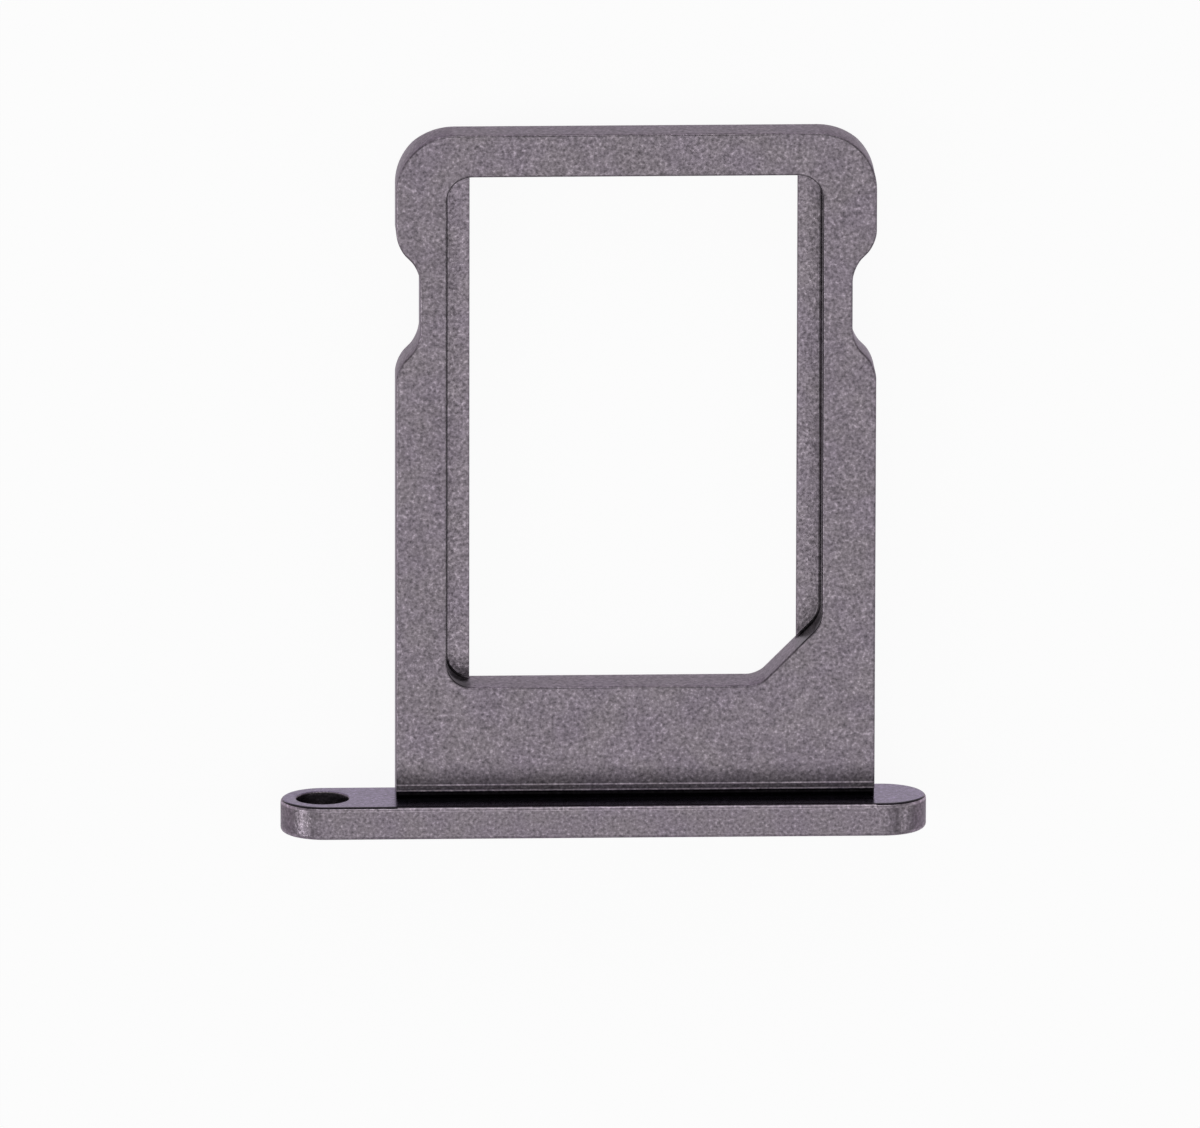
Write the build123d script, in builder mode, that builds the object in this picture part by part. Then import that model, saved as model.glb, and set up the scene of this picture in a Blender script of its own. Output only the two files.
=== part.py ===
"""Card tray for a phone: a machined aluminium frame that carries one nano card.

The tray is one piece. A thin plate with a card pocket stands square on the back
of a narrow faceplate, which closes the slot in the phone's side and has the
eject hole. All sizes are in millimetres.

X runs along the faceplate, with the eject hole at its -X end. +Y points the way
the tray goes into the phone, and +Z is up as the tray lies on its underside.
The origin is at the middle of the underside.
"""

from build123d import *
from math import radians, sin, tan
import os

os.makedirs("parts", exist_ok=True)

# The card, and the play that lets it drop into its pocket
CARD_LENGTH = 12.30
CARD_WIDTH = 8.80
CARD_THICKNESS = 0.67
CARD_CUT_LEG = 1.65
CARD_PLAY = 0.15
CARD_SUNK = 0.33

# The plate round the pocket
LEDGE_WIDTH = 0.57
LEDGE_THICKNESS = 0.25
RAIL_HOLE_SIDE = 1.20
RAIL_FAR_SIDE = 1.27
ROOT_LENGTH = 2.72
TIP_BAR = 1.03
TIP_CORNER_RADIUS = 1.40
POCKET_CORNER_RADIUS = 0.60
POCKET_FLOOR_RADIUS = 0.06
LEAD_IN_LENGTH = 0.50
LEAD_IN_HEIGHT = 0.25

# The catch notches, one in each long side
NOTCH_DEPTH = 0.57
NOTCH_FLAT = 1.15
NOTCH_BLEND_RADIUS = 0.80
NOTCH_FROM_TIP = 4.20
NOTCH_SLOPE = 45.0

# The faceplate and its eject hole
FACE_HEIGHT = 2.10
FACE_THICKNESS = 0.80
OVERHANG_HOLE_SIDE = 2.76
OVERHANG_FAR_SIDE = 1.24
EJECT_HOLE_DIAMETER = 1.25
EJECT_HOLE_INSET = 1.00

# The stepped relief where the plate meets the faceplate
RELIEF_WIDTH = 0.17
RELIEF_DEPTH = 0.25
RELIEF_STEP_WIDTH = 0.15
RELIEF_STEP_DEPTH = 0.06
RELIEF_FLOOR_RADIUS = 0.07

# The small chamfer that takes off each sharp outer edge, larger round the faceplate
EDGE_BREAK = 0.05
FACE_EDGE_BREAK = 0.10

# Sizes that follow
POCKET_LENGTH = CARD_LENGTH + CARD_PLAY
POCKET_WIDTH = CARD_WIDTH + CARD_PLAY
POCKET_CUT_LEG = CARD_CUT_LEG - CARD_PLAY
POCKET_DEPTH = CARD_THICKNESS + CARD_SUNK
PLATE_THICKNESS = LEDGE_THICKNESS + POCKET_DEPTH
PLATE_WIDTH = RAIL_HOLE_SIDE + POCKET_WIDTH + RAIL_FAR_SIDE
PLATE_LENGTH = ROOT_LENGTH + POCKET_LENGTH + TIP_BAR
FACE_LENGTH = OVERHANG_HOLE_SIDE + PLATE_WIDTH + OVERHANG_FAR_SIDE

# Places along X and Y
FRONT_Y = -(PLATE_LENGTH + FACE_THICKNESS) / 2
BACK_Y = FRONT_Y + FACE_THICKNESS
TIP_Y = BACK_Y + PLATE_LENGTH
PLATE_LEFT_X = -FACE_LENGTH / 2 + OVERHANG_HOLE_SIDE
PLATE_RIGHT_X = PLATE_LEFT_X + PLATE_WIDTH
PLATE_MIDDLE_X = (PLATE_LEFT_X + PLATE_RIGHT_X) / 2
POCKET_LEFT_X = PLATE_LEFT_X + RAIL_HOLE_SIDE
POCKET_RIGHT_X = POCKET_LEFT_X + POCKET_WIDTH
POCKET_MIDDLE_X = (POCKET_LEFT_X + POCKET_RIGHT_X) / 2
POCKET_LOW_Y = BACK_Y + ROOT_LENGTH
POCKET_HIGH_Y = POCKET_LOW_Y + POCKET_LENGTH
POCKET_MIDDLE_Y = (POCKET_LOW_Y + POCKET_HIGH_Y) / 2
NOTCH_Y = TIP_Y - NOTCH_FROM_TIP
EJECT_HOLE_X = -FACE_LENGTH / 2 + EJECT_HOLE_INSET

# A blend on the notch's slope can be no larger than half the slope takes
NOTCH_SLOPE_LENGTH = NOTCH_DEPTH / sin(radians(NOTCH_SLOPE))
BLEND_SHARE = 0.49
NOTCH_BLEND_LIMIT = BLEND_SHARE * NOTCH_SLOPE_LENGTH / tan(radians(NOTCH_SLOPE / 2))
NOTCH_BLEND = min(NOTCH_BLEND_RADIUS, NOTCH_BLEND_LIMIT)
NOTCH_INNER = NOTCH_FLAT + 2 * NOTCH_BLEND * tan(radians(NOTCH_SLOPE / 2))
NOTCH_MOUTH = NOTCH_INNER + 2 * NOTCH_DEPTH / tan(radians(NOTCH_SLOPE))

# How far the middle of a face or an edge may lie from the place it is looked for
NEAR = 0.001


def near(shapes, axis, place):
    """The faces or edges whose middle lies at one place along an axis."""
    return shapes.filter_by_position(axis, place - NEAR, place + NEAR)


def hole_rims(edges):
    """The full circles among the edges, which only the eject hole has."""
    return edges.filter_by(GeomType.CIRCLE).filter_by(lambda edge: edge.is_closed)


with BuildPart() as card_tray:
    # Faceplate: a flat bar with round ends, standing on its long edge
    with BuildSketch(Plane.XZ.offset(-BACK_Y)):
        with Locations((0, FACE_HEIGHT / 2)):
            SlotOverall(FACE_LENGTH, FACE_HEIGHT)
    extrude(amount=FACE_THICKNESS)

    # Eject hole: a straight bore through the faceplate
    hole_mouth = Plane((EJECT_HOLE_X, FRONT_Y, FACE_HEIGHT / 2), z_dir=(0, -1, 0))
    with Locations(hole_mouth):
        Hole(EJECT_HOLE_DIAMETER / 2, FACE_THICKNESS)

    # Plate: its outline has two round corners at the tip and a notch in each side
    with BuildSketch() as plate_outline:
        with Locations((PLATE_MIDDLE_X, BACK_Y)):
            Rectangle(PLATE_WIDTH, PLATE_LENGTH, align=(Align.CENTER, Align.MIN))
        fillet(plate_outline.vertices().group_by(Axis.Y)[-1], TIP_CORNER_RADIUS)
        notch_places = [
            Location((PLATE_LEFT_X, NOTCH_Y), -90),
            Location((PLATE_RIGHT_X, NOTCH_Y), 90),
        ]
        with Locations(notch_places):
            Trapezoid(
                NOTCH_MOUTH,
                NOTCH_DEPTH,
                NOTCH_SLOPE,
                align=(Align.CENTER, Align.MIN),
                mode=Mode.SUBTRACT,
            )
        notch_corners = plate_outline.vertices().filter_by_position(
            Axis.Y, NOTCH_Y - NOTCH_MOUTH / 2 - NEAR, NOTCH_Y + NOTCH_MOUTH / 2 + NEAR
        )
        fillet(notch_corners, NOTCH_BLEND)
    extrude(amount=PLATE_THICKNESS)

    # Card pocket: the card's own outline with its cut corner, and a rounded floor edge
    with BuildSketch(Plane.XY.offset(PLATE_THICKNESS)) as pocket_outline:
        with Locations((POCKET_MIDDLE_X, POCKET_MIDDLE_Y)):
            Rectangle(POCKET_WIDTH, POCKET_LENGTH)
        cut_corner = pocket_outline.vertices().group_by(Axis.Y)[0].sort_by(Axis.X)[-1]
        chamfer(cut_corner, POCKET_CUT_LEG)
        fillet(pocket_outline.vertices(), POCKET_CORNER_RADIUS)
    extrude(amount=-POCKET_DEPTH, mode=Mode.SUBTRACT)
    fillet(near(card_tray.faces(), Axis.Z, LEDGE_THICKNESS).edges(), POCKET_FLOOR_RADIUS)

    # Window: the middle of the pocket goes right through and leaves two ledges
    with BuildSketch(Plane.XY.offset(PLATE_THICKNESS)):
        add(pocket_outline.sketch_local)
        with Locations((POCKET_MIDDLE_X, POCKET_MIDDLE_Y)):
            Rectangle(POCKET_WIDTH - 2 * LEDGE_WIDTH, POCKET_LENGTH, mode=Mode.INTERSECT)
    extrude(amount=-PLATE_THICKNESS, mode=Mode.SUBTRACT)

    # Edge break: a chamfer round the faceplate, front and back
    back_edges = near(card_tray.edges(), Axis.Y, BACK_Y)
    face_rims = near(card_tray.edges(), Axis.Y, FRONT_Y)
    face_rims += back_edges.filter_by(GeomType.CIRCLE) + near(back_edges, Axis.Z, FACE_HEIGHT)
    face_rims += near(back_edges, Axis.Z, 0)
    chamfer([edge for edge in face_rims if edge not in hole_rims(face_rims)], FACE_EDGE_BREAK)

    # A smaller one on the hole and on the plate, which a finger can feel as well
    fine_rims = hole_rims(card_tray.edges())
    plate_rims = near(card_tray.faces(), Axis.Z, PLATE_THICKNESS).edges()
    plate_rims += near(card_tray.faces(), Axis.Z, 0).edges()
    fine_rims += plate_rims.filter_by_position(Axis.Y, BACK_Y + NEAR, TIP_Y + NEAR)
    chamfer(fine_rims, EDGE_BREAK)

    # Root relief: a narrow slot against the faceplate, with a shallow step beside it
    with BuildSketch(Plane.YZ.offset(PLATE_LEFT_X)) as relief_profile:
        with Locations((BACK_Y, PLATE_THICKNESS)):
            Rectangle(RELIEF_WIDTH, RELIEF_DEPTH, align=(Align.MIN, Align.MAX))
            fillet(relief_profile.vertices().group_by(Axis.Y)[0], RELIEF_FLOOR_RADIUS)
            Rectangle(
                RELIEF_WIDTH + RELIEF_STEP_WIDTH, RELIEF_STEP_DEPTH, align=(Align.MIN, Align.MAX)
            )
    extrude(amount=PLATE_WIDTH, mode=Mode.SUBTRACT)

    # Lead-in: the underside of the tip slopes up to ride over the contact springs
    with BuildSketch(Plane.YZ.offset(PLATE_LEFT_X)):
        with BuildLine():
            Polyline(
                (TIP_Y - LEAD_IN_LENGTH, 0), (TIP_Y, 0), (TIP_Y, LEAD_IN_HEIGHT), close=True
            )
        make_face()
    extrude(amount=PLATE_WIDTH, mode=Mode.SUBTRACT)

card_tray.part.label = "card_tray"
export_step(card_tray.part, "parts/card_tray.step")
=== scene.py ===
# %% [markdown]
# # A milled card tray, from a plain block to bead-blasted metal
#
# The object is the small metal tray that carries a nano card into a phone. A real one is milled from
# one piece of aluminium: a thin plate with a pocket for the card, and a narrow faceplate across its end
# with a hole for the eject pin. It is then blasted with fine glass beads and anodised dark grey.
# This file models the tray the way the mill makes it, one cut at a time, gives it its metal, and lights
# it as a small product on a pale table.

# %% Load the frame
import math

import bmesh
import bpy
from mathutils import Matrix, Vector


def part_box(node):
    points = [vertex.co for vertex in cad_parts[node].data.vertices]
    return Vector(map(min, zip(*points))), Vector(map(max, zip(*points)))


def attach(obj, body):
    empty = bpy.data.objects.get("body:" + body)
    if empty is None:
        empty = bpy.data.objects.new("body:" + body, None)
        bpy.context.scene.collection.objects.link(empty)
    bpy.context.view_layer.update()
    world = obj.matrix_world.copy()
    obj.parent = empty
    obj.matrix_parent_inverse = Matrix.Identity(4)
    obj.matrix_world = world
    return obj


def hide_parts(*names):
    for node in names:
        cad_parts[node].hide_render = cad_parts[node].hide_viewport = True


MM = 0.001
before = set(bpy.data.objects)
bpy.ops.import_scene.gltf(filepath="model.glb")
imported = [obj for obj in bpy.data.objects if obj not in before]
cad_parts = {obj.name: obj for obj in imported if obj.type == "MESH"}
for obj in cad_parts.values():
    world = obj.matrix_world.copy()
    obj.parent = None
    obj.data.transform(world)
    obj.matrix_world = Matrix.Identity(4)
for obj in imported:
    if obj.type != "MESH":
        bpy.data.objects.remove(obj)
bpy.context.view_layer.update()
low, high = [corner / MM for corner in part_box("card_tray")]
print("The solid model spans, in mm:", [round(c, 2) for c in low], [round(c, 2) for c in high])

# %% [markdown]
# ## Sizes
#
# The frame gives the outer size: how long and wide the tray is, and how high the faceplate stands.
# The rest are the tray's own working sizes, in millimetres. They say what a machinist would read off
# the drawing, so a change here reads like a change to the part.

# %% Working sizes in millimetres
FRONT_Y, TIP_Y = low.y, high.y
FACE_LENGTH = high.x - low.x
FACE_HEIGHT = high.z
FACE_THICKNESS = 0.80
BACK_Y = FRONT_Y + FACE_THICKNESS

PLATE_THICKNESS = 1.25
OVERHANG_LEFT, OVERHANG_RIGHT = 2.76, 1.24
PLATE_LEFT, PLATE_RIGHT = low.x + OVERHANG_LEFT, high.x - OVERHANG_RIGHT
TIP_CORNER = 1.40

RAIL_LEFT, RAIL_RIGHT = 1.20, 1.27
ROOT_LENGTH, TIP_BAR = 2.72, 1.03
POCKET_LEFT, POCKET_RIGHT = PLATE_LEFT + RAIL_LEFT, PLATE_RIGHT - RAIL_RIGHT
POCKET_LOW, POCKET_HIGH = BACK_Y + ROOT_LENGTH, TIP_Y - TIP_BAR
POCKET_CORNER = 0.60
POCKET_CUT_LEG = 1.50
POCKET_FLOOR_RADIUS = 0.06
LEDGE_WIDTH = 0.57
LEDGE_THICKNESS = 0.25

NOTCH_FROM_TIP = 4.20
NOTCH_Y = TIP_Y - NOTCH_FROM_TIP
NOTCH_DEPTH = 0.57
NOTCH_FLAT = 1.15
NOTCH_BLEND = 0.80

HOLE_INSET = 1.00
HOLE_X = low.x + HOLE_INSET
HOLE_RADIUS = 0.625

RELIEF_WIDTH, RELIEF_DEPTH = 0.17, 0.25
STEP_WIDTH, STEP_DEPTH = 0.15, 0.06
LEAD_IN_LENGTH, LEAD_IN_HEIGHT = 0.50, 0.25
EDGE_BREAK = 0.05
FACE_EDGE_BREAK = 0.10
print("The plate is", round(PLATE_RIGHT - PLATE_LEFT, 2), "by", round(TIP_Y - BACK_Y, 2), "mm")

# %% [markdown]
# ## Camera
#
# The tray lies flat and the camera looks down on it through a long lens, leaning about 13.5 degrees
# towards the tip and 2 degrees towards the eject hole. A long lens keeps the sides nearly parallel.
# The camera comes first, because how large the tray stands in the picture decides how fine the
# edges and the grain have to be.

# %% Camera
CAMERA_TILT = 13.54
CAMERA_LEAN = 2.28
CAMERA_ROLL = 0.11
CAMERA_DISTANCE = 613.5
CAMERA_LENS = 772.9
CAMERA_AIM = Vector((-0.09, -2.03, 1.0))
FILM_WIDTH = 36
NEAREST_SEEN = 0.01

tilt, lean, roll = map(math.radians, (CAMERA_TILT, CAMERA_LEAN, CAMERA_ROLL))
away = Vector((-math.sin(lean) * math.cos(tilt), math.sin(tilt), math.cos(lean) * math.cos(tilt)))
across = Vector((0, 1, 0)).cross(away).normalized()
upward = away.cross(across)
turned = Matrix((across, upward, away)).transposed() @ Matrix.Rotation(roll, 3, "Z")

bpy.ops.object.camera_add(location=(CAMERA_AIM + away * CAMERA_DISTANCE) * MM)
camera = bpy.context.object
camera.rotation_euler = turned.to_euler()
camera.data.sensor_width = FILM_WIDTH
camera.data.lens = CAMERA_LENS
camera.data.clip_start = NEAREST_SEEN
bpy.context.scene.camera = camera
print("The camera stands", CAMERA_DISTANCE, "mm away with a", CAMERA_LENS, "mm lens")

# %% [markdown]
# ## Working at the bench
#
# The tray is modelled at one Blender unit to a millimetre and shrunk at the end. Blender's edit tools
# merge and clip at about a millionth of a unit. On a part this small, in metres, that is close to
# the size of its broken edges, and in millimetres it is far below it.
#
# Every edit starts the same way: nothing is selected, one piece is opened in edit mode, and the edges
# to work on are found by where their two ends lie. That is what a hand would do with a click.

# %% Open a piece and find its edges
NEAR = 0.002


def alone(piece):
    """Selects one piece and nothing else."""
    if bpy.context.object and bpy.context.object.mode == "EDIT":
        bpy.ops.object.mode_set(mode="OBJECT")
    bpy.ops.object.select_all(action="DESELECT")
    piece.select_set(True)
    bpy.context.view_layer.objects.active = piece


def open_edges(piece, wanted):
    """Opens a piece in edit mode with the edges selected whose two ends pass a test."""
    alone(piece)
    bpy.ops.object.mode_set(mode="EDIT")
    bpy.ops.mesh.select_mode(type="EDGE")
    bpy.ops.mesh.select_all(action="DESELECT")
    mesh = bmesh.from_edit_mesh(piece.data)
    picked = [edge for edge in mesh.edges if wanted(edge.verts[0].co, edge.verts[1].co)]
    for edge in picked:
        edge.select_set(True)
    bmesh.update_edit_mesh(piece.data)
    return len(picked)


def open_faces(piece, wanted):
    """Opens a piece in edit mode with the faces selected whose centre and normal pass a test."""
    alone(piece)
    bpy.ops.object.mode_set(mode="EDIT")
    bpy.ops.mesh.select_mode(type="FACE")
    bpy.ops.mesh.select_all(action="DESELECT")
    mesh = bmesh.from_edit_mesh(piece.data)
    picked = [face for face in mesh.faces if wanted(face.calc_center_median(), face.normal)]
    for face in picked:
        face.select_set(True)
    bmesh.update_edit_mesh(piece.data)
    return len(picked)


def close():
    """Leaves edit mode."""
    bpy.ops.object.mode_set(mode="OBJECT")


def both_at(axis, place):
    """A test for an edge that lies at one place along an axis."""
    return lambda a, b: abs(a[axis] - place) < NEAR and abs(b[axis] - place) < NEAR


def upright(a, b):
    """True for an edge that stands along Z."""
    return abs(a.x - b.x) < NEAR and abs(a.y - b.y) < NEAR


# %% Add a block and cut with it
FLAT_WITHIN = math.radians(0.5)


def block(name, lowest, highest):
    """A plain block between two corners, with its size and place in its mesh."""
    lowest, highest = Vector(lowest), Vector(highest)
    bpy.ops.object.select_all(action="DESELECT")
    bpy.ops.mesh.primitive_cube_add(size=1, location=(lowest + highest) / 2)
    piece = bpy.context.object
    piece.name = piece.data.name = name
    piece.scale = highest - lowest
    bpy.ops.object.transform_apply(location=True, rotation=True, scale=True)
    return piece


def even_out(piece):
    """Merges doubled points and joins faces that lie in one plane, so a bevel finds no stray edge."""
    open_edges(piece, lambda a, b: True)
    bpy.ops.mesh.select_all(action="SELECT")
    bpy.ops.mesh.remove_doubles(threshold=NEAR / 4)
    bpy.ops.mesh.dissolve_limited(angle_limit=FLAT_WITHIN)
    close()


def open_count(piece):
    """How many edges of a piece don't have just two faces."""
    sides = [0] * len(piece.data.edges)
    for loop in piece.data.loops:
        sides[loop.edge_index] += 1
    return sum(side != 2 for side in sides)


def combine(piece, tool, operation):
    """Adds or cuts with a tool, throws the tool away and says if the piece is still closed."""
    alone(piece)
    cut = piece.modifiers.new("cut", "BOOLEAN")
    cut.operation = operation
    cut.solver = "EXACT"
    cut.object = tool
    bpy.ops.object.modifier_apply(modifier=cut.name)
    even_out(piece)
    print(operation.title(), "with the", tool.name, "leaves", open_count(piece), "open edges")
    bpy.data.objects.remove(tool)


# %% [markdown]
# ## The plate
#
# The plate is the tray's body. It could be drawn as a curve and filled, but a block shaped in edit mode
# is closer to the way it is milled and keeps every size in sight. The block is sliced across where the
# two catch notches begin and end, the edges between the slices are pushed in, and the sharp corners
# that are left are rolled over with bevels of many segments. The plate starts inside the faceplate, so
# that the two join as one solid.

# %% Rough plate with pushed-in notches
NOTCH_SLOPE = math.radians(45)
blend_run = NOTCH_BLEND * math.tan(NOTCH_SLOPE / 2)
notch_floor = NOTCH_FLAT / 2 + blend_run
notch_mouth = notch_floor + NOTCH_DEPTH / math.tan(NOTCH_SLOPE)

tray = block("tray", (PLATE_LEFT, BACK_Y - FACE_THICKNESS / 2, 0), (PLATE_RIGHT, TIP_Y, PLATE_THICKNESS))
open_edges(tray, lambda a, b: True)
for reach in (-notch_mouth, -notch_floor, notch_floor, notch_mouth):
    bpy.ops.mesh.select_all(action="SELECT")
    bpy.ops.mesh.bisect(plane_co=(0, NOTCH_Y + reach, 0), plane_no=(0, 1, 0))
close()

for side, inward in ((PLATE_LEFT, NOTCH_DEPTH), (PLATE_RIGHT, -NOTCH_DEPTH)):
    open_edges(
        tray,
        lambda a, b: upright(a, b) and both_at(0, side)(a, b) and abs(a.y - NOTCH_Y) < notch_floor + NEAR,
    )
    bpy.ops.transform.translate(value=(inward, 0, 0))
    close()
print("The notches are", round(2 * notch_mouth, 2), "mm long at the mouth")

# %% Round the notches and the tip
ARC_STEPS = 16


def notch_corner(a, b):
    """True for the upright edges where a notch turns."""
    return upright(a, b) and abs(a.y - NOTCH_Y) < notch_mouth + NEAR


def tip_corner(a, b):
    """True for the two upright edges at the tip."""
    return upright(a, b) and both_at(1, TIP_Y)(a, b)


open_edges(tray, notch_corner)
bpy.ops.mesh.bevel(offset=blend_run, segments=ARC_STEPS, affect="EDGES")
close()
open_edges(tray, tip_corner)
bpy.ops.mesh.bevel(offset=TIP_CORNER, segments=2 * ARC_STEPS, affect="EDGES")
close()
print("The plate's outline has", len(tray.data.vertices) // 2, "points a side")

# %% [markdown]
# ## The faceplate
#
# The faceplate is a bar with half-round ends. Bevelling a block would leave a hair-thin flat at each
# end, so a short round rod is used instead: it is opened, its right half is pulled out to the bar's
# length, and the two flats appear between the halves. The rod is made a touch larger, so that its
# flats, which lie between two corners, and not its corners, stand at the bar's full height.

# %% Pull a round rod out into the faceplate
ROD_SIDES = 96
half_height = FACE_HEIGHT / 2
rod_radius = half_height / math.cos(math.pi / ROD_SIDES)

bpy.ops.object.select_all(action="DESELECT")
bpy.ops.mesh.primitive_cylinder_add(
    vertices=ROD_SIDES,
    radius=rod_radius,
    depth=FACE_THICKNESS,
    end_fill_type="NGON",
    rotation=(math.pi / 2, math.pi / ROD_SIDES, 0),
)
faceplate = bpy.context.object
faceplate.name = "faceplate"
bpy.ops.object.transform_apply(location=True, rotation=True, scale=True)

pull = FACE_LENGTH / 2 - half_height
for way in (-1, 1):
    open_edges(faceplate, lambda a, b: a.x * way > 0 and b.x * way > 0)
    bpy.ops.transform.translate(value=(way * pull, 0, 0))
    close()
open_edges(faceplate, lambda a, b: True)
bpy.ops.transform.translate(value=(0, FRONT_Y + FACE_THICKNESS / 2, half_height))
close()
print("The faceplate is", round(FACE_LENGTH, 2), "by", round(FACE_HEIGHT, 2), "mm")

# %% Break the faceplate's rims and bore its hole
BREAK_STEPS = 2


def break_edges(piece, wanted, size=EDGE_BREAK, steps=BREAK_STEPS):
    """Takes off the edges that pass a test with a small round bevel."""
    count = open_edges(piece, wanted)
    bpy.ops.mesh.bevel(offset=size, segments=steps, affect="EDGES", clamp_overlap=False)
    close()
    return count


def on_a_rim(a, b):
    """True for an edge round the front or the back of the faceplate."""
    return both_at(1, FRONT_Y)(a, b) or both_at(1, BACK_Y)(a, b)


def round_the_hole(a, b):
    """True for an edge of the faceplate's rims that runs round the eject hole."""
    far = [math.hypot(p.x - HOLE_X, p.z - half_height) for p in (a, b)]
    return on_a_rim(a, b) and max(far) < HOLE_RADIUS + NEAR


break_edges(faceplate, on_a_rim, FACE_EDGE_BREAK, 2 * BREAK_STEPS)
bpy.ops.object.select_all(action="DESELECT")
bpy.ops.mesh.primitive_cylinder_add(
    vertices=ROD_SIDES,
    radius=HOLE_RADIUS,
    depth=3 * FACE_THICKNESS,
    location=(HOLE_X, FRONT_Y + FACE_THICKNESS / 2, half_height),
    rotation=(math.pi / 2, 0, 0),
)
combine(faceplate, bpy.context.object, "DIFFERENCE")
print("The hole's two rims have", break_edges(faceplate, round_the_hole), "edges")

# %% Break the plate's outline and join the two
def outline(a, b):
    """True for an edge of the plate's outline, above or below, that the faceplate doesn't hide."""
    level = both_at(2, 0)(a, b) or both_at(2, PLATE_THICKNESS)(a, b)
    buried = both_at(1, BACK_Y - FACE_THICKNESS / 2)(a, b)
    return level and not buried


def make_flush(piece, axis, place):
    """Puts the points that lie close to a plane exactly on it."""
    for point in piece.data.vertices:
        if abs(point.co[axis] - place) < NEAR:
            point.co[axis] = place


even_out(tray)
break_edges(tray, outline)
for piece in (tray, faceplate):
    make_flush(piece, 2, 0)
    make_flush(piece, 1, BACK_Y)
combine(tray, faceplate, "UNION")
print("Joined, the tray has", len(tray.data.polygons), "faces")

# %% [markdown]
# ## The card pocket and the window
#
# On the mill, the pocket is one pass of a small cutter round the card's outline, and the window is a
# second, deeper pass that leaves two ledges for the card to lie on. Here both are one solid the shape
# of the metal that is taken away. The middle of the pocket's floor is pushed down through the plate, so
# the window and the pocket share their end walls, as they do when one cutter makes both.

# %% Shape the pocket's solid
ABOVE = 1.0
pocket = block(
    "pocket",
    (POCKET_LEFT, POCKET_LOW, LEDGE_THICKNESS),
    (POCKET_RIGHT, POCKET_HIGH, PLATE_THICKNESS + ABOVE),
)


def cut_corner(a, b):
    """True for the upright edge where the card's corner is cut."""
    return upright(a, b) and both_at(0, POCKET_RIGHT)(a, b) and both_at(1, POCKET_LOW)(a, b)


def blunt_corner(a, b):
    """True for the two upright edges that the cut corner leaves."""
    on_end = both_at(1, POCKET_LOW)(a, b) and a.x > POCKET_LEFT + LEDGE_WIDTH
    on_side = both_at(0, POCKET_RIGHT)(a, b) and a.y < POCKET_HIGH - LEDGE_WIDTH
    return upright(a, b) and (on_end or on_side)


def square_corner(a, b):
    """True for the three upright edges where the pocket turns by a right angle."""
    at_left = both_at(0, POCKET_LEFT)(a, b)
    far_right = both_at(0, POCKET_RIGHT)(a, b) and both_at(1, POCKET_HIGH)(a, b)
    return upright(a, b) and (at_left or far_right)


BLUNT_TURN = math.radians(45)
BLUNT_RUN = POCKET_CORNER * math.tan(BLUNT_TURN / 2)
for corner, reach, steps in (
    (cut_corner, POCKET_CUT_LEG, 1),
    (blunt_corner, BLUNT_RUN, ARC_STEPS // 2),
    (square_corner, POCKET_CORNER, ARC_STEPS),
):
    open_edges(pocket, corner)
    bpy.ops.mesh.bevel(offset=reach, segments=steps, affect="EDGES")
    close()
print("The pocket is", round(POCKET_RIGHT - POCKET_LEFT, 2), "by", round(POCKET_HIGH - POCKET_LOW, 2), "mm")

# %% Push the window down, round the floor's edge and cut
FLOOR_STEPS = 4
WINDOW_LEFT, WINDOW_RIGHT = POCKET_LEFT + LEDGE_WIDTH, POCKET_RIGHT - LEDGE_WIDTH

open_edges(pocket, lambda a, b: True)
for edge_x in (WINDOW_LEFT, WINDOW_RIGHT):
    bpy.ops.mesh.select_all(action="SELECT")
    bpy.ops.mesh.bisect(plane_co=(edge_x, 0, 0), plane_no=(1, 0, 0))
close()


def window_floor(centre, normal):
    """True for the part of the floor between the two ledges."""
    return normal.z < -1 + NEAR and WINDOW_LEFT < centre.x < WINDOW_RIGHT


def ledge_wall(a, b):
    """True for an edge where a ledge meets the pocket's wall."""
    beyond = any(p.x < WINDOW_LEFT - NEAR or p.x > WINDOW_RIGHT + NEAR for p in (a, b))
    return both_at(2, LEDGE_THICKNESS)(a, b) and beyond


print("Pushed down:", open_faces(pocket, window_floor), "face")
bpy.ops.mesh.extrude_region_move(TRANSFORM_OT_translate={"value": (0, 0, -LEDGE_THICKNESS - ABOVE)})
close()
print("The ledges' walls have", open_edges(pocket, ledge_wall), "edges on the floor")
bpy.ops.mesh.bevel(offset=POCKET_FLOOR_RADIUS, segments=FLOOR_STEPS, affect="EDGES")
close()
combine(tray, pocket, "DIFFERENCE")

# %% Break the edges of the pocket, the window and the ledges
LEDGE_BREAK = 0.03


def inside_pocket(a, b):
    """True for an edge that lies within the pocket's outline."""
    return all(
        POCKET_LEFT - NEAR < p.x < POCKET_RIGHT + NEAR and POCKET_LOW - NEAR < p.y < POCKET_HIGH + NEAR
        for p in (a, b)
    )


def pocket_mouth(a, b):
    """True for an edge round the top of the pocket."""
    return both_at(2, PLATE_THICKNESS)(a, b) and inside_pocket(a, b)


def window_rim(a, b):
    """True for an edge round the underside of the window."""
    return both_at(2, 0)(a, b) and inside_pocket(a, b)


def ledge_edge(a, b):
    """True for the long inner edge on top of a ledge."""
    return both_at(2, LEDGE_THICKNESS)(a, b) and (
        both_at(0, WINDOW_LEFT)(a, b) or both_at(0, WINDOW_RIGHT)(a, b)
    )


print("Pocket mouth:", break_edges(tray, pocket_mouth), "edges")
print("Window rim:", break_edges(tray, window_rim), "edges")
print("Ledge edges:", break_edges(tray, ledge_edge, LEDGE_BREAK), "edges,", open_count(tray), "open")

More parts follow.
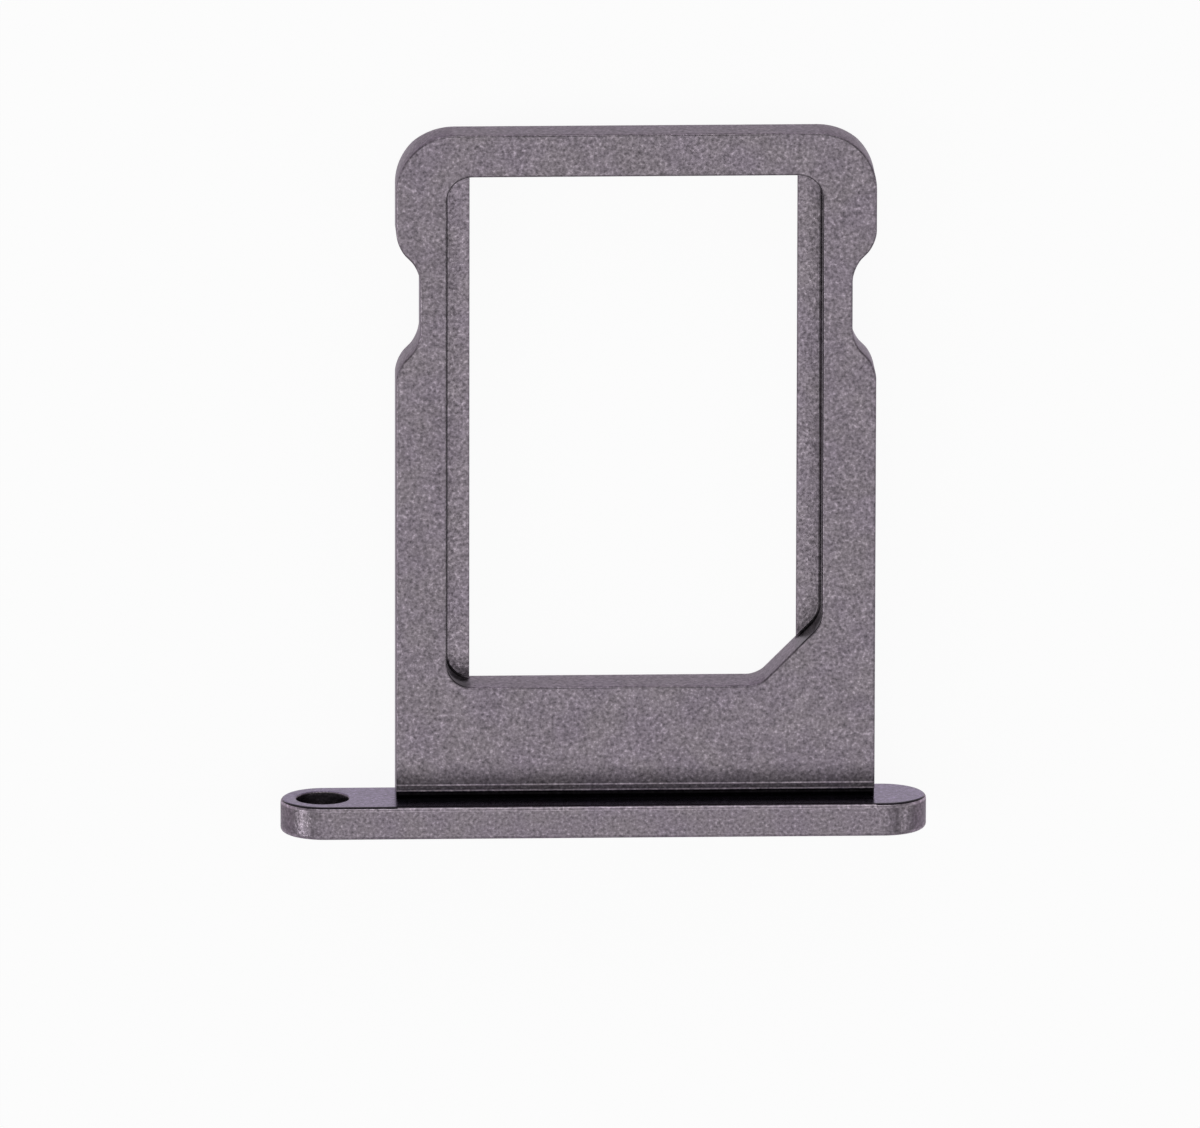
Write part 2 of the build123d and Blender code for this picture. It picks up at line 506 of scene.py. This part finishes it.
# %% [markdown]
# ## The relief at the root
#
# Where the plate meets the faceplate, the mill leaves a narrow slot with a shallow step beside it, so
# that nothing rounds the inside corner and the faceplate can sit flush. It shows as a dark band with a
# pair of thin lines, which the metal helps with painted shade in the slot and a painted highlight on
# its edges. Two blocks joined together cut it, the deeper one with a rounded floor.

# %% Cut the relief
RELIEF_FLOOR_RADIUS = 0.07
RELIEF_STEPS = 6
slot_floor = PLATE_THICKNESS - RELIEF_DEPTH
slot = block(
    "slot",
    (PLATE_LEFT - ABOVE, BACK_Y, slot_floor),
    (PLATE_RIGHT + ABOVE, BACK_Y + RELIEF_WIDTH, PLATE_THICKNESS + ABOVE),
)
open_edges(slot, lambda a, b: both_at(2, slot_floor)(a, b) and abs(a.y - b.y) < NEAR)
bpy.ops.mesh.bevel(offset=RELIEF_FLOOR_RADIUS, segments=RELIEF_STEPS, affect="EDGES")
close()
step = block(
    "step",
    (PLATE_LEFT - 2 * ABOVE, BACK_Y + RELIEF_WIDTH / 2, PLATE_THICKNESS - STEP_DEPTH),
    (PLATE_RIGHT + 2 * ABOVE, BACK_Y + RELIEF_WIDTH + STEP_WIDTH, PLATE_THICKNESS + ABOVE / 2),
)
combine(slot, step, "UNION")
combine(tray, slot, "DIFFERENCE")

# %% Slope the tip's underside
open_edges(tray, lambda a, b: True)
bpy.ops.mesh.select_all(action="SELECT")
bpy.ops.mesh.bisect(
    plane_co=(0, TIP_Y - LEAD_IN_LENGTH, 0),
    plane_no=(0, LEAD_IN_HEIGHT, -LEAD_IN_LENGTH),
    use_fill=True,
    clear_outer=True,
)
close()
print("Sloped at the tip, the tray has", open_count(tray), "open edges")

# %% [markdown]
# ## Shrink it and smooth it
#
# The tray is brought from millimetres to metres with its place in its mesh. Round stretches are shaded
# smooth where two faces meet at a shallow angle. The weighted normals keep the wide flats truly flat
# in the light, and leave the turn to the narrow bevels, so a broken edge reads as a thin glint.

# %% Finish the mesh
SMOOTH_ANGLE = math.radians(50)
FACE_WEIGHT = 100
even_out(tray)
open_edges(tray, lambda a, b: True)
bpy.ops.mesh.select_all(action="SELECT")
bpy.ops.mesh.normals_make_consistent(inside=False)
close()
tray.scale = (MM, MM, MM)
alone(tray)
bpy.ops.object.transform_apply(location=True, rotation=True, scale=True)
bpy.ops.object.shade_smooth_by_angle(angle=SMOOTH_ANGLE)
flats = tray.modifiers.new("flats", "WEIGHTED_NORMAL")
flats.keep_sharp = True
flats.weight = FACE_WEIGHT
bpy.ops.object.modifier_apply(modifier=flats.name)
print("Finished with", len(tray.data.polygons), "faces and", open_count(tray), "open edges")

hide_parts("card_tray")
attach(tray, "root")

# %% [markdown]
# ## The metal
#
# The real finish is bead-blasted anodised aluminium. Blasting with fine glass beads covers the milled
# metal with tiny dimples. Anodising then grows a thin hard skin of oxide, and a grey dye with a little
# violet in it is sealed into the skin. To the eye it is still a metal: it has no colour of its own
# beside its reflections, and those are broken up into a dry sparkle by the dimples.
#
# It could be one flat metal, but a small part looks real when it is lighter and darker from place to
# place. So the shader is a plain metal with a broad highlight, its colour is the dye, and a share from
# place to place says how light the dye looks there: that share is painted shade and painted highlight.
# All places are found from Object coordinates in millimetres, because the tray's mesh lies at its true
# place.

# %% Two helpers for materials
WHITE = "#ffffff"


def linear(hex_colour):
    """Turns an sRGB hex colour into the linear values that a shader works with."""
    parts = [int(hex_colour[i:i + 2], 16) / 255 for i in (1, 3, 5)]
    return [c / 12.92 if c <= 0.04045 else ((c + 0.055) / 1.055) ** 2.4 for c in parts] + [1.0]


def add_node(tree, kind, inputs=None, **settings):
    """Adds a node, sets its properties, and fills or links its inputs."""
    made = tree.nodes.new(kind)
    for name, value in settings.items():
        setattr(made, name, value)
    for name, value in (inputs or {}).items():
        if isinstance(value, bpy.types.NodeSocket):
            tree.links.new(value, made.inputs[name])
        else:
            made.inputs[name].default_value = value
    return made


# %% Start the metal and measure from the faceplate
metal = bpy.data.materials.new("bead_blasted_anodised_aluminium")
metal.use_nodes = True
tree = metal.node_tree
place = add_node(tree, "ShaderNodeTexCoord").outputs["Object"]
in_mm = add_node(tree, "ShaderNodeVectorMath", {0: place, "Scale": 1 / MM}, operation="SCALE").outputs[0]
where = add_node(tree, "ShaderNodeSeparateXYZ", {0: in_mm}).outputs
from_face = add_node(tree, "ShaderNodeMath", {0: where["Y"], 1: BACK_Y}, operation="SUBTRACT").outputs[0]
print("The metal measures from the faceplate's back, at", round(BACK_Y, 2), "mm")

# %% [markdown]
# ### The grain
#
# Glass beads of about 0.1 mm leave dimples of about half that, and they land on each other. One noise
# stands for them, drawn half as large again so that it shows. Its height tilts the surface and its
# middle range shades it. Its highest points are painted lighter, as a painted glint.

# %% Dimples, shade and painted glint
DIMPLE = 0.075
DIMPLE_DETAIL, DIMPLE_ROUGHNESS = 2.0, 0.6
NOISE_LOW, NOISE_HIGH = 0.3, 0.7
SHADE_SPREAD = 0.38
PAINTED_GLINT = 0.45
GLINT_FROM, GLINT_TO = 0.62, 0.75

dimples = add_node(
    tree,
    "ShaderNodeTexNoise",
    {"Vector": in_mm, "Scale": 1 / DIMPLE, "Detail": DIMPLE_DETAIL, "Roughness": DIMPLE_ROUGHNESS},
).outputs[0]
noise_range = {"Value": dimples, "From Min": NOISE_LOW, "From Max": NOISE_HIGH}
shade = add_node(
    tree,
    "ShaderNodeMapRange",
    {**noise_range, "To Min": 1 - SHADE_SPREAD, "To Max": 1 + SHADE_SPREAD},
    clamp=False,
).outputs[0]
# Painted glint: the noise's highest points are painted lighter.
painted_glint = add_node(
    tree,
    "ShaderNodeMapRange",
    {"Value": dimples, "From Min": GLINT_FROM, "From Max": GLINT_TO, "To Min": 0.0, "To Max": PAINTED_GLINT},
).outputs[0]
sparkle = add_node(tree, "ShaderNodeMath", {0: shade, 1: painted_glint}, operation="ADD").outputs[0]
print("The dimples are drawn", DIMPLE, "mm across")

# %% [markdown]
# ### The dye
#
# The bath doesn't colour the skin quite evenly, so the dye drifts between violet and grey over about a
# millimetre. The faceplate's back was milled and not blasted. Its colour is painted cooler and a little
# lighter, as a painted reflection of the pale table that the back faces.

# %% Dye over the blasted metal, and painted reflection on the milled back
DYE_DRIFT = 0.9
DYE_DETAIL = 2.0
DYE_LOW, DYE_HIGH = 0.35, 0.65
DYE_VIOLET = "#817882"
DYE_GREY = "#827a81"
BACK_DYE_AND_SHEEN = "#877e96"
BACK_SKIN = 0.012

drift = add_node(
    tree, "ShaderNodeTexNoise", {"Vector": in_mm, "Scale": 1 / DYE_DRIFT, "Detail": DYE_DETAIL}
).outputs[0]
dye_share = add_node(
    tree, "ShaderNodeMapRange", {"Value": drift, "From Min": DYE_LOW, "From Max": DYE_HIGH}
).outputs[0]
dye = add_node(
    tree,
    "ShaderNodeMix",
    {0: dye_share, 6: linear(DYE_VIOLET), 7: linear(DYE_GREY)},
    data_type="RGBA",
).outputs[2]
on_back = add_node(
    tree, "ShaderNodeMath", {0: from_face, 1: 0.0, 2: BACK_SKIN}, operation="COMPARE"
).outputs[0]
# Painted reflection: the milled back is painted cooler and a little lighter.
dye_and_back_sheen = add_node(
    tree, "ShaderNodeMix", {0: on_back, 6: dye, 7: linear(BACK_DYE_AND_SHEEN)}, data_type="RGBA"
).outputs[2]
print("The dye drifts over", DYE_DRIFT, "mm")

# %% [markdown]
# ### Under the faceplate
#
# The plate is painted darker towards the corner under the faceplate, as painted shade. In the corner
# lies the relief. Its slot is painted nearly black, also painted shade, and its two upper edges get a
# painted highlight, a little brighter, which draws the pair of thin lines.

# %% Shade the relief
HAIR = 0.005
SLOT_PAINTED_SHADE = 0.06
RELIEF_HIGHLIGHT_WIDTH = 0.045
RELIEF_HIGHLIGHT = 1.1
PAINTED_SHADE_REACH = 0.92
PAINTED_SHADE = 0.33

# Painted shade: the plate's colour darkens smoothly towards the faceplate.
painted_root_shade = add_node(
    tree,
    "ShaderNodeMapRange",
    {
        "Value": from_face,
        "From Min": RELIEF_WIDTH + STEP_WIDTH,
        "From Max": PAINTED_SHADE_REACH,
        "To Min": PAINTED_SHADE,
        "To Max": 1.0,
    },
    interpolation_type="SMOOTHSTEP",
).outputs[0]
in_relief = add_node(
    tree, "ShaderNodeMath", {0: where["Z"], 1: slot_floor - STEP_DEPTH / 4}, operation="GREATER_THAN"
).outputs[0]
step_rim, slot_rim = [
    add_node(
        tree,
        "ShaderNodeMath",
        {0: from_face, 1: edge + RELIEF_HIGHLIGHT_WIDTH / 4, 2: RELIEF_HIGHLIGHT_WIDTH / 2},
        operation="COMPARE",
    ).outputs[0]
    for edge in (RELIEF_WIDTH + STEP_WIDTH, RELIEF_WIDTH)
]
both_rims = add_node(tree, "ShaderNodeMath", {0: step_rim, 1: slot_rim}, operation="ADD").outputs[0]
rims = add_node(tree, "ShaderNodeMath", {0: both_rims, 1: in_relief}, operation="MULTIPLY").outputs[0]
# Painted highlight: the relief's two upper edges are painted a little lighter.
relief_highlighted = add_node(tree, "ShaderNodeMix", {0: rims, 2: painted_root_shade, 3: RELIEF_HIGHLIGHT}, data_type="FLOAT").outputs[0]
past_slot = add_node(
    tree, "ShaderNodeMath", {0: from_face, 1: RELIEF_WIDTH - HAIR}, operation="LESS_THAN"
).outputs[0]
in_slot = add_node(tree, "ShaderNodeMath", {0: past_slot, 1: in_relief}, operation="MULTIPLY").outputs[0]
# Painted shade: the slot is painted nearly black.
root = add_node(
    tree, "ShaderNodeMix", {0: in_slot, 2: relief_highlighted, 3: SLOT_PAINTED_SHADE}, data_type="FLOAT"
).outputs[0]
# Prints where the painted shade near the faceplate fades out.
print("The blast reaches the plate fully from", PAINTED_SHADE_REACH, "mm off the faceplate")

# %% Keep that shade to the plate's top
on_top = add_node(
    tree,
    "ShaderNodeMapRange",
    {"Value": where["Z"], "From Min": LEDGE_THICKNESS, "From Max": slot_floor - EDGE_BREAK},
    interpolation_type="SMOOTHSTEP",
).outputs[0]
behind_face = add_node(
    tree, "ShaderNodeMath", {0: from_face, 1: 2 * HAIR}, operation="GREATER_THAN"
).outputs[0]
root_shade_zone = add_node(
    tree, "ShaderNodeMath", {0: on_top, 1: behind_face}, operation="MULTIPLY"
).outputs[0]
# Painted shade, kept to the plate's top and off the faceplate.
root_shade_share = add_node(
    tree, "ShaderNodeMix", {0: root_shade_zone, 2: 1.0, 3: root}, data_type="FLOAT"
).outputs[0]
print("Everything below the ledges' top,", LEDGE_THICKNESS, "mm up, keeps its full shade")

# %% [markdown]
# ### In the pocket and the bore
#
# The pocket's long walls stand too steep for the beads and keep the cutter's smooth finish. Their
# colour is painted dark, a painted shade that shows as a dark outline round the card. The ledges are
# painted a shade lighter, as painted light. The bore gets the same painted shade as the corner under
# the faceplate.

# %% Find the pocket's walls
centre_x, half_width = (POCKET_LEFT + POCKET_RIGHT) / 2, (POCKET_RIGHT - POCKET_LEFT) / 2
centre_y, half_length = (POCKET_LOW + POCKET_HIGH) / 2, (POCKET_HIGH - POCKET_LOW) / 2
half_window = (WINDOW_RIGHT - WINDOW_LEFT) / 2
wall_low = LEDGE_THICKNESS + HAIR / 2
wall_high = PLATE_THICKNESS - EDGE_BREAK / 4

from_middle = add_node(tree, "ShaderNodeMath", {0: where["X"], 1: centre_x}, operation="SUBTRACT").outputs[0]
sideways = add_node(tree, "ShaderNodeMath", {0: from_middle}, operation="ABSOLUTE").outputs[0]
lengthways = add_node(
    tree,
    "ShaderNodeMath",
    {0: where["Y"], 1: centre_y, 2: half_length + EDGE_BREAK / 2},
    operation="COMPARE",
).outputs[0]
inside = add_node(
    tree, "ShaderNodeMath", {0: sideways, 1: half_width + EDGE_BREAK / 2}, operation="LESS_THAN"
).outputs[0]
past_window = add_node(
    tree,
    "ShaderNodeMapRange",
    {
        "Value": sideways,
        "From Min": half_window - LEDGE_WIDTH / 4,
        "From Max": half_window + LEDGE_WIDTH / 4,
    },
    interpolation_type="SMOOTHSTEP",
).outputs[0]
over_ledge = add_node(
    tree, "ShaderNodeMath", {0: inside, 1: past_window}, operation="MULTIPLY"
).outputs[0]
halfway_up = add_node(
    tree,
    "ShaderNodeMath",
    {0: where["Z"], 1: (wall_low + wall_high) / 2, 2: (wall_high - wall_low) / 2},
    operation="COMPARE",
).outputs[0]
beside = add_node(tree, "ShaderNodeMath", {0: lengthways, 1: over_ledge}, operation="MULTIPLY").outputs[0]
on_wall = add_node(tree, "ShaderNodeMath", {0: beside, 1: halfway_up}, operation="MULTIPLY").outputs[0]
print("The pocket's walls stand from", round(wall_low, 3), "to", round(wall_high, 3), "mm up")

# %% Painted shade on the walls and the bore, painted light on the ledges
LEDGE_PAINTED_LIGHT = 1.12

# Painted shade: the pocket's walls are painted dark.
painted_wall_shade = add_node(
    tree, "ShaderNodeMix", {0: on_wall, 2: root_shade_share, 3: PAINTED_SHADE / 2}, data_type="FLOAT"
).outputs[0]
ledge_height = add_node(
    tree, "ShaderNodeMath", {0: where["Z"], 1: LEDGE_THICKNESS, 2: NEAR}, operation="COMPARE"
).outputs[0]
on_ledge = add_node(tree, "ShaderNodeMath", {0: ledge_height, 1: inside}, operation="MULTIPLY").outputs[0]
# Painted light: the ledges are painted a shade lighter.
ledge_lightened = add_node(
    tree, "ShaderNodeMix", {0: on_ledge, 2: painted_wall_shade, 3: LEDGE_PAINTED_LIGHT}, data_type="FLOAT"
).outputs[0]
hole_middle = add_node(
    tree, "ShaderNodeCombineXYZ", {0: HOLE_X, 1: where["Y"], 2: half_height}
).outputs[0]
from_hole = add_node(
    tree, "ShaderNodeVectorMath", {0: in_mm, 1: hole_middle}, operation="DISTANCE"
).outputs["Value"]
in_bore = add_node(
    tree, "ShaderNodeMath", {0: from_hole, 1: HOLE_RADIUS + HAIR}, operation="LESS_THAN"
).outputs[0]
# Painted shade: the bore is painted dark.
bore_shaded = add_node(
    tree, "ShaderNodeMix", {0: in_bore, 2: ledge_lightened, 3: PAINTED_SHADE}, data_type="FLOAT"
).outputs[0]
print("Walls, ledges and bore take", PAINTED_SHADE / 2, LEDGE_PAINTED_LIGHT, "and", PAINTED_SHADE, "of the shade")

# %% [markdown]
# ### Round the faceplate
#
# The faceplate's two rims get a painted highlight, the back one most, which draws a thin bright line.
# The back's own edge, just behind that line, is turned away from every light, and a painted shade
# makes it read as a thin dark one that tapers off round the ends. Both are found by how far a place lies
# out from the line that runs through the middle of the bar: on the straight part that is straight up or
# down, and at the round ends it is the radius.

# %% Painted highlight on the two rims
BACK_RIM_HIGHLIGHT, FRONT_RIM_HIGHLIGHT = 1.3, 0.4
RIM_HIGHLIGHT_REACH = 1.2

past_middle = add_node(tree, "ShaderNodeMath", {0: where["X"]}, operation="ABSOLUTE").outputs[0]
into_end = add_node(tree, "ShaderNodeMath", {0: past_middle, 1: pull}, operation="SUBTRACT").outputs[0]
end_reach = add_node(tree, "ShaderNodeMath", {0: into_end, 1: 0.0}, operation="MAXIMUM").outputs[0]
level = add_node(tree, "ShaderNodeMath", {0: where["Z"], 1: half_height}, operation="SUBTRACT").outputs[0]
spoke = add_node(tree, "ShaderNodeCombineXYZ", {0: end_reach, 1: level}).outputs[0]
outward = add_node(tree, "ShaderNodeVectorMath", {0: spoke}, operation="LENGTH").outputs["Value"]
through = add_node(
    tree, "ShaderNodeMath", {0: where["Y"], 1: FRONT_Y + FACE_THICKNESS / 2}, operation="SUBTRACT"
).outputs[0]
off_centre = add_node(tree, "ShaderNodeMath", {0: through}, operation="ABSOLUTE").outputs[0]
near_outline, near_side = [
    add_node(
        tree,
        "ShaderNodeMapRange",
        {"Value": reach, "From Min": start, "From Max": start + FACE_EDGE_BREAK / 2},
        interpolation_type="SMOOTHSTEP",
    ).outputs[0]
    for reach, start in (
        (outward, half_height - FACE_EDGE_BREAK / 2),
        (off_centre, FACE_THICKNESS / 2 - RIM_HIGHLIGHT_REACH * FACE_EDGE_BREAK),
    )
]
rim_highlight_mask = add_node(
    tree, "ShaderNodeMath", {0: near_outline, 1: near_side}, operation="MULTIPLY"
).outputs[0]
rim_highlight_here = add_node(
    tree,
    "ShaderNodeMapRange",
    {
        "Value": through,
        "From Min": -FACE_THICKNESS / 2,
        "From Max": FACE_THICKNESS / 2,
        "To Min": FRONT_RIM_HIGHLIGHT,
        "To Max": BACK_RIM_HIGHLIGHT,
    },
).outputs[0]
# Painted highlight: both rims are painted lighter, the back one most.
rim_highlighted = add_node(
    tree, "ShaderNodeMath", {0: rim_highlight_mask, 1: rim_highlight_here, 2: bore_shaded}, operation="MULTIPLY_ADD"
).outputs[0]
# Prints the strength of the painted highlights on the rims.
print("The rims are worn by", BACK_RIM_HIGHLIGHT, "at the back and", FRONT_RIM_HIGHLIGHT, "at the front")

# %% The painted dark edge round the back
RIM_PAINTED_SHADE = 0.10
RIM_REACH = 0.13
RIM_ROLL = 0.036

raised = add_node(tree, "ShaderNodeMath", {0: level, 1: RIM_REACH}, operation="ADD").outputs[0]
lower_spoke = add_node(tree, "ShaderNodeCombineXYZ", {0: end_reach, 1: raised}).outputs[0]
lower_reach = add_node(
    tree, "ShaderNodeVectorMath", {0: lower_spoke}, operation="LENGTH"
).outputs["Value"]
by_the_rim = add_node(
    tree, "ShaderNodeMath", {0: lower_reach, 1: half_height}, operation="GREATER_THAN"
).outputs[0]
over_plate = add_node(
    tree,
    "ShaderNodeMath",
    {0: where["X"], 1: (PLATE_LEFT + PLATE_RIGHT) / 2, 2: (PLATE_RIGHT - PLATE_LEFT) / 2},
    operation="COMPARE",
).outputs[0]
roll_here = add_node(
    tree, "ShaderNodeMapRange", {"Value": over_plate, "To Min": RIM_ROLL, "To Max": RIM_ROLL / 3}
).outputs[0]
rolled = add_node(
    tree, "ShaderNodeMath", {0: from_face, 1: 0.0, 2: roll_here}, operation="COMPARE"
).outputs[0]
rim_shade_mask = add_node(tree, "ShaderNodeMath", {0: by_the_rim, 1: rolled}, operation="MULTIPLY").outputs[0]
# Painted shade: a thin dark line along the back's upper edge.
rim_shaded = add_node(
    tree, "ShaderNodeMix", {0: rim_shade_mask, 2: rim_highlighted, 3: RIM_PAINTED_SHADE}, data_type="FLOAT"
).outputs[0]
print("The dark edge is", RIM_REACH, "mm high on the back")

# %% [markdown]
# ### Put the metal together
#
# The colour is the dye times the grain with its painted glint times the share of painted shade and
# light. A higher dimple is a little smoother, and the milled back and the pocket's walls are smoother
# still, with shallower dimples. The metal keeps Blender's own IOR, because a metal's colour already says
# how much it reflects.

# %% Colour, roughness and dimples
ROUGHNESS = 0.36
ROUGHNESS_SPREAD = 0.05
MILLED_ROUGHNESS = 0.20
DIMPLE_DEPTH = 0.010
MILLED_DIMPLES = 0.4

shade_here = add_node(
    tree, "ShaderNodeMath", {0: sparkle, 1: rim_shaded}, operation="MULTIPLY"
).outputs[0]
colour = add_node(
    tree, "ShaderNodeVectorMath", {0: dye_and_back_sheen, "Scale": shade_here}, operation="SCALE"
).outputs[0]
gloss = add_node(
    tree,
    "ShaderNodeMapRange",
    {**noise_range, "To Min": ROUGHNESS + ROUGHNESS_SPREAD, "To Max": ROUGHNESS - ROUGHNESS_SPREAD},
).outputs[0]
milled = add_node(tree, "ShaderNodeMath", {0: on_back, 1: on_wall}, operation="MAXIMUM").outputs[0]
finish = add_node(
    tree, "ShaderNodeMix", {0: milled, 2: gloss, 3: MILLED_ROUGHNESS}, data_type="FLOAT"
).outputs[0]
dimple_share = add_node(
    tree, "ShaderNodeMapRange", {"Value": milled, "To Min": 1.0, "To Max": MILLED_DIMPLES}
).outputs[0]
dimpled = add_node(
    tree, "ShaderNodeBump", {"Height": dimples, "Distance": DIMPLE_DEPTH * MM, "Strength": dimple_share}
).outputs[0]
shader = tree.nodes["Principled BSDF"]
shader.inputs["Metallic"].default_value = 1.0
tree.links.new(colour, shader.inputs["Base Color"])
tree.links.new(finish, shader.inputs["Roughness"])
tree.links.new(dimpled, shader.inputs["Normal"])
tray.data.materials.clear()
tray.data.materials.append(metal)
print("The metal has", len(tree.nodes), "nodes and a roughness of about", ROUGHNESS)

# %% [markdown]
# ## The table
#
# The tray lies on a sheet of white paper. Lit plainly, paper this bright would still render as a light
# grey. So the eye, and the metal's reflections, see it as mostly white, while its soft shadow is kept.
# In the metal's reflections the sheet is painted dimmer and a touch less green than the eye sees it.

# %% White paper
PAPER = "#eeeeee"
# Painted reflection: what the metal mirrors of the paper is dimmer and a touch less green.
PAPER_IN_METAL = "#fdf3ff"
PAPER_SHEEN = 0.66
PAPER_SEEN = 1.0
PAPER_ROUGHNESS = 0.9
PAPER_SPECULAR = 0.1
SEEN_WHITE = 0.94
SHEET = 0.9

bpy.ops.object.select_all(action="DESELECT")
bpy.ops.mesh.primitive_plane_add(size=SHEET)
floor = bpy.context.object
floor.name = floor.data.name = "paper_sheet"
paper = bpy.data.materials.new("white_paper")
paper.use_nodes = True
tree = paper.node_tree
sheet = tree.nodes["Principled BSDF"]
sheet.inputs["Base Color"].default_value = linear(PAPER)
sheet.inputs["Roughness"].default_value = PAPER_ROUGHNESS
sheet.inputs["Specular IOR Level"].default_value = PAPER_SPECULAR
ray = add_node(tree, "ShaderNodeLightPath").outputs
mirrored = add_node(
    tree, "ShaderNodeMath", {0: ray["Is Glossy Ray"], 1: ray["Is Transmission Ray"]}, operation="MAXIMUM"
).outputs[0]
seen = add_node(
    tree, "ShaderNodeMath", {0: ray["Is Camera Ray"], 1: mirrored}, operation="MAXIMUM"
).outputs[0]
share = add_node(tree, "ShaderNodeMath", {0: seen, 1: SEEN_WHITE}, operation="MULTIPLY").outputs[0]
tint = add_node(
    tree,
    "ShaderNodeMix",
    {0: mirrored, 6: linear(WHITE), 7: linear(PAPER_IN_METAL)},
    data_type="RGBA",
).outputs[2]
brightness = add_node(
    tree, "ShaderNodeMapRange", {"Value": mirrored, "To Min": PAPER_SEEN, "To Max": PAPER_SHEEN}
).outputs[0]
glow = add_node(tree, "ShaderNodeEmission", {"Color": tint, "Strength": brightness}).outputs[0]
both = add_node(
    tree, "ShaderNodeMixShader", {0: share, 1: sheet.outputs[0], 2: glow}
).outputs[0]
tree.links.new(both, tree.nodes["Material Output"].inputs["Surface"])
floor.data.materials.append(paper)
print("The sheet is", SHEET, "m wide")

# %% [markdown]
# ## The light
#
# A small metal part shows its lights more than its own colour, so each light is placed for the face
# that mirrors it. A large softbox stands where the flat top mirrors it, leaning to the faceplate's
# side, and stops short of the camera. The place of the camera itself stays dim, and a square
# inside corner sends it back: that, with the painted shade in the relief's slot, makes the band over
# the plate nearly black. A weak low light fills the rounding along the faceplate's front. A soft light
# on the left draws the bright streak on the faceplate's round end, a weaker one answers on the right,
# and a low one beyond the tip lights the thin bright line on the faceplate's upper edge, which a
# painted highlight makes brighter.

# %% Softboxes
LAMP_DISTANCE = 1.0


def softbox(name, heading, height, width, tall, brightness):
    """Adds a soft light that faces the tray, from a heading and a height in degrees."""
    turn, rise = math.radians(heading), math.radians(height)
    way = Vector((math.sin(turn) * math.cos(rise), math.cos(turn) * math.cos(rise), math.sin(rise)))
    bpy.ops.object.light_add(type="AREA", location=way * LAMP_DISTANCE)
    lamp = bpy.context.object
    lamp.name = lamp.data.name = name
    lamp.data.shape = "RECTANGLE"
    lamp.data.size, lamp.data.size_y = width, tall
    lamp.data.energy = brightness * math.pi * width * tall
    lamp.rotation_euler = way.to_track_quat("Z", "Y").to_euler()


softbox("key", heading=180, height=76, width=0.95, tall=0.50, brightness=1.12)
softbox("front_low", heading=180, height=24, width=0.90, tall=0.40, brightness=0.5)
softbox("left_side", heading=-104, height=29, width=0.55, tall=0.38, brightness=3.4)
softbox("right_side", heading=104, height=29, width=0.55, tall=0.26, brightness=2.1)
softbox("beyond_the_tip", heading=0, height=24, width=0.80, tall=0.36, brightness=2.0)

# %% [markdown]
# ## The room
#
# The room round the tray is an even grey wall. The metal mirrors it wherever no softbox stands, so it
# is kept dim. The eye sees it as white, which hides the far edge of the sheet.

# %% A dim, even room
ROOM = 0.28
world = bpy.data.worlds.new("room")
bpy.context.scene.world = world
world.use_nodes = True
tree = world.node_tree
ray = add_node(tree, "ShaderNodeLightPath").outputs
seen = add_node(
    tree, "ShaderNodeMath", {0: ray["Is Camera Ray"], 1: ray["Is Transmission Ray"]}, operation="MAXIMUM"
).outputs[0]
room_light = add_node(
    tree, "ShaderNodeMapRange", {"Value": seen, "To Min": ROOM, "To Max": 1.0}
).outputs[0]
backdrop = tree.nodes["Background"]
backdrop.inputs["Color"].default_value = linear(WHITE)
tree.links.new(room_light, backdrop.inputs["Strength"])
bpy.context.scene.view_settings.view_transform = "Standard"
print("The room gives", ROOM, "of white")
